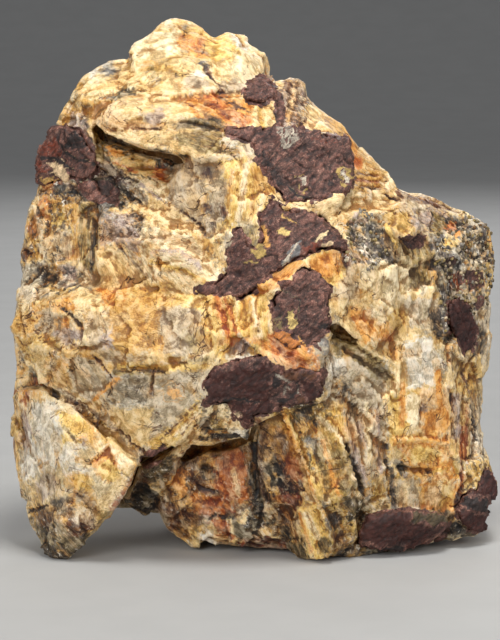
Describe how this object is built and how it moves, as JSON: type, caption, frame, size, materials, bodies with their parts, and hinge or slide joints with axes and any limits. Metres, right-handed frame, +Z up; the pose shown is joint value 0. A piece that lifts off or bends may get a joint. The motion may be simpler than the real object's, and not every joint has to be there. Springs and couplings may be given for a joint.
{
  "type": "thorite specimen",
  "caption": "Broken hand specimen of pale, iron-stained feldspar with chocolate-brown masses of thorite set in its ledges and cleavage plates; it stands on its broken base.",
  "frame": {"origin": "on the table under the middle of the specimen's bounding box", "axes": "+Z up as the specimen stands, -Y the way the face with the thorite looks, +X to the right of that face"},
  "size_m": [0.0976, 0.0624, 0.1052],
  "materials": {
    "matrix": "broken cleavage faces, waxy to dull, stained with iron",
    "thorite": "dull, finely pitted, chocolate brown"
  },
  "bodies": {
    "root": {"matrix": "matrix", "thorite_upper": "thorite", "thorite_branching": "thorite", "thorite_middle": "thorite", "thorite_lower": "thorite", "thorite_foot": "thorite", "thorite_right": "thorite", "thorite_left": "thorite", "thorite_top": "thorite", "thorite_corner": "thorite"}
  },
  "joints": []
}
